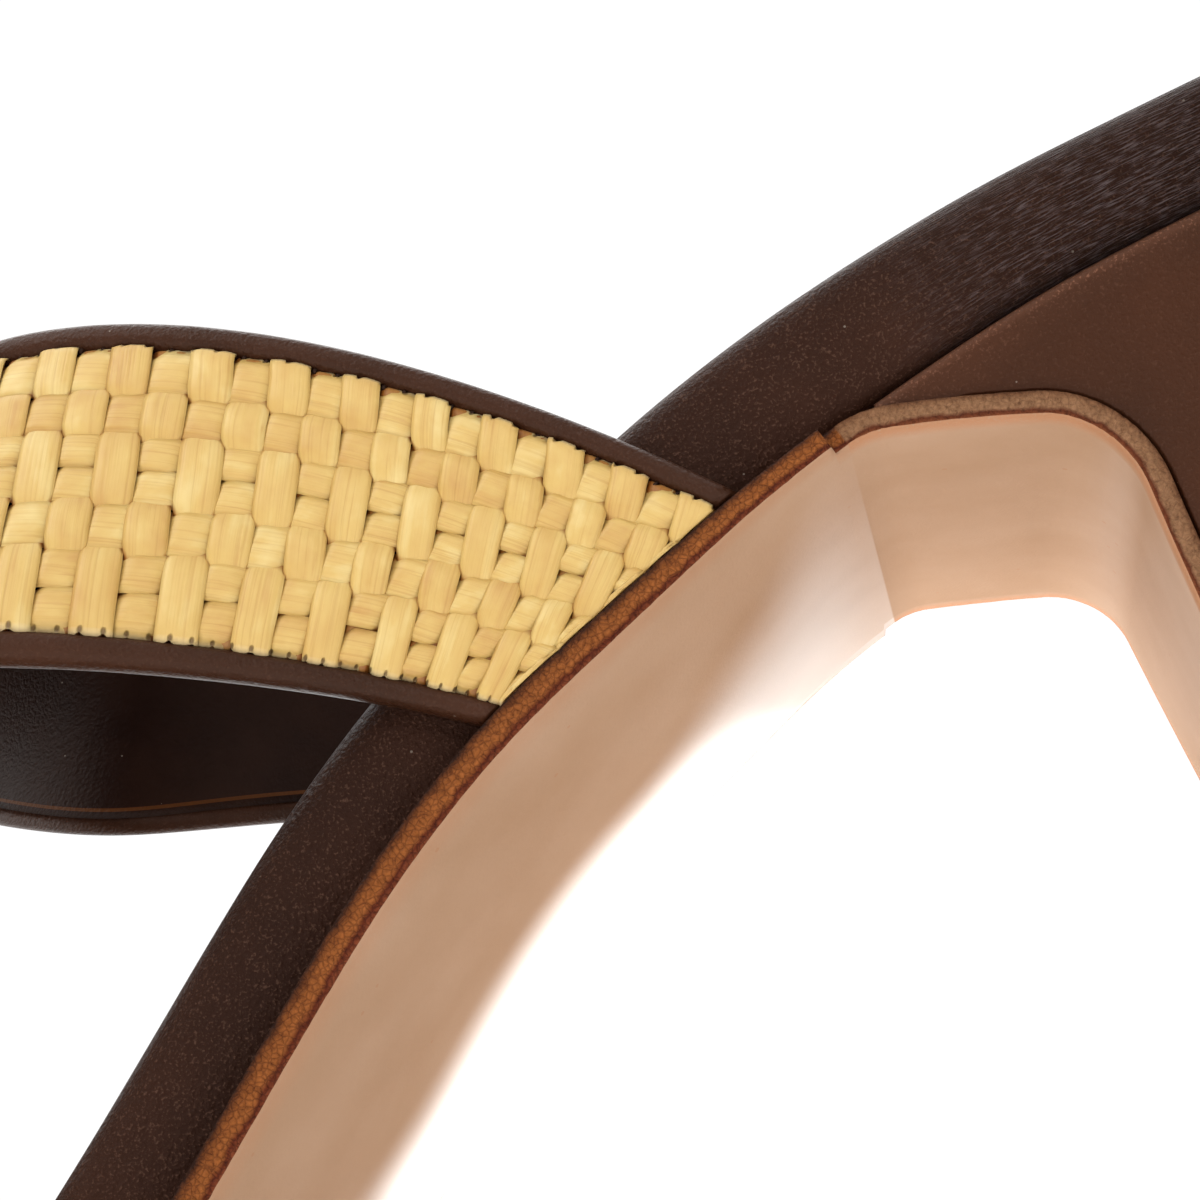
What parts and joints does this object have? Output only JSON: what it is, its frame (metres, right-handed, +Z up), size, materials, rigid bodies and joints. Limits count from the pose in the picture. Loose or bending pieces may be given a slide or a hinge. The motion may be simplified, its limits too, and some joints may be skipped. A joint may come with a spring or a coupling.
{
  "type": "straw sandal",
  "caption": "High-heeled open slide with woven straw straps bound in brown leather, a wrapped footbed and a leather outsole that runs down the heel breast.",
  "frame": {"origin": "centre of the bounding box, on the floor under the shoe", "axes": "+X to the toe, +Y to the wearer's left (outer side of this left shoe), +Z up"},
  "size_m": [0.231, 0.086, 0.0799],
  "materials": {
    "straw": "satin",
    "brown_leather": "satin",
    "lining_leather": "satin",
    "heel_leather": "satin",
    "sole_leather": "matte",
    "lift_rubber": "matte"
  },
  "bodies": {
    "root": {"footbed": "brown_leather", "insole_sock": "lining_leather", "outsole": "sole_leather", "heel_block": "heel_leather", "heel_top_piece": "lift_rubber", "instep_strap": "straw", "instep_strap_lining": "lining_leather", "instep_strap_rear_piping": "brown_leather", "instep_strap_front_piping": "brown_leather", "toe_strap": "straw", "toe_strap_lining": "lining_leather", "toe_strap_rear_piping": "brown_leather", "toe_strap_front_piping": "brown_leather"}
  },
  "joints": []
}
